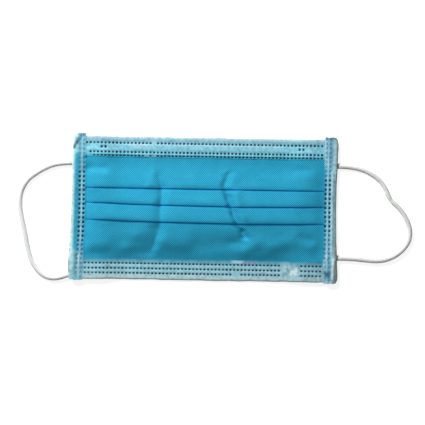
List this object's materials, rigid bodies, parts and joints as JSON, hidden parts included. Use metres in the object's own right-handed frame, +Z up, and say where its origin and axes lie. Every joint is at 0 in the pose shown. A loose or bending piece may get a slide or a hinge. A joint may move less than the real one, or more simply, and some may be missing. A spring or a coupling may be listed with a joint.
{
  "type": "surgical face mask",
  "caption": "Flat-folded surgical face mask with knife pleats, welded hems, side bindings, nose wire and elastic ear loops.",
  "frame": {"origin": "on the table, under the middle of the mask without its ear loops", "axes": "+X across the mask towards its right side as seen from the front, +Y towards the nose edge, +Z up out of the blue outer face"},
  "size_m": [0.2599, 0.097, 0.0087],
  "materials": {
    "outer_ply": "spunbond nonwoven, cyan blue, fine point-bond emboss, matt",
    "hem_ply": "white spunbond inner ply turned over the blue one, pale blue, matt, rows of welded dots",
    "binding_tape": "thin white spunbond tape, blue showing through, matt, rows of welded dots",
    "elastic": "knitted round white elastic, soft matt",
    "wire": "white plastic-coated flat nose wire"
  },
  "bodies": {
    "root": {"pleated_panel": "outer_ply", "top_hem": "hem_ply", "bottom_hem": "hem_ply", "nose_wire": "wire", "side_binding_left": "binding_tape", "side_binding_right": "binding_tape", "loop_end_left_upper": "elastic", "loop_end_left_lower": "elastic", "loop_end_right_upper": "elastic", "loop_end_right_lower": "elastic", "ear_loop_left": "elastic", "ear_loop_right": "elastic"}
  },
  "joints": []
}
